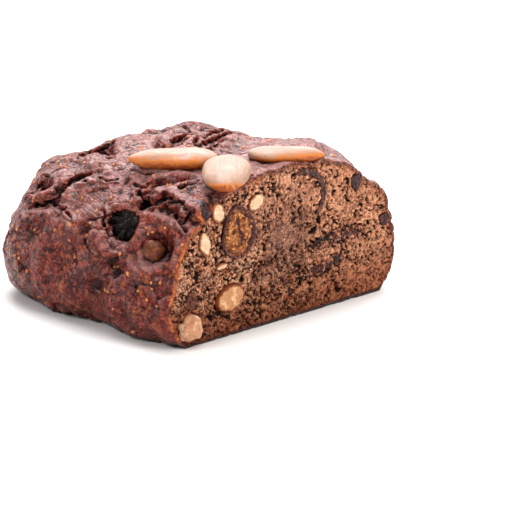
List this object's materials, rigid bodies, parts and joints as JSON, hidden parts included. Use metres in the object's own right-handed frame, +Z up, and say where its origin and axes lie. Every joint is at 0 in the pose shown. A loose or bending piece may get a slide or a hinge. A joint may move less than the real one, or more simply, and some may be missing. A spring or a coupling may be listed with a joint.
{
  "type": "pear bread",
  "caption": "Cut loaf of dark pear and fig bread with blanched almonds pressed into its crust, and nuts and fruit showing in the cut face.",
  "frame": {"origin": "bottom centre of the whole loaf, on the flat underside", "axes": "+X along the loaf, out of the cut face; +Y across the loaf; +Z up"},
  "size_m": [0.0916, 0.0952, 0.0479],
  "materials": {
    "crust": "dark red-brown baked crust with a dull sheen, wrinkled",
    "crumb": "tan open crumb, matte",
    "almond": "cream blanched almond, baked golden underneath",
    "nut": "pale cut nut, matte",
    "hazelnut": "golden hazelnut, soft sheen",
    "date": "brown dried fruit, smooth",
    "raisin": "dark violet raisin, glossy",
    "prune": "near-black sticky fruit, glossy",
    "pear": "grey-brown dried pear, smooth",
    "fig": "seedy golden fig flesh with a dark skin"
  },
  "bodies": {
    "root": {"loaf": "crust", "almond_left": "almond", "almond_centre": "almond", "almond_right": "almond", "nut_by_crust": "nut", "nut_left": "nut", "nut_upper": "nut", "nut_chip": "nut", "hazelnut_half": "hazelnut", "hazelnut_corner": "hazelnut", "nut_in_hollow": "hazelnut", "date_piece": "date", "raisin_upper": "raisin", "raisin_edge": "raisin", "raisin_shoulder": "raisin", "fruit_in_hollow": "prune", "prune_streak": "prune", "prune_low": "prune", "pear_middle": "pear", "pear_right": "pear", "fig_half": "fig", "fig_curl": "fig"}
  },
  "joints": []
}
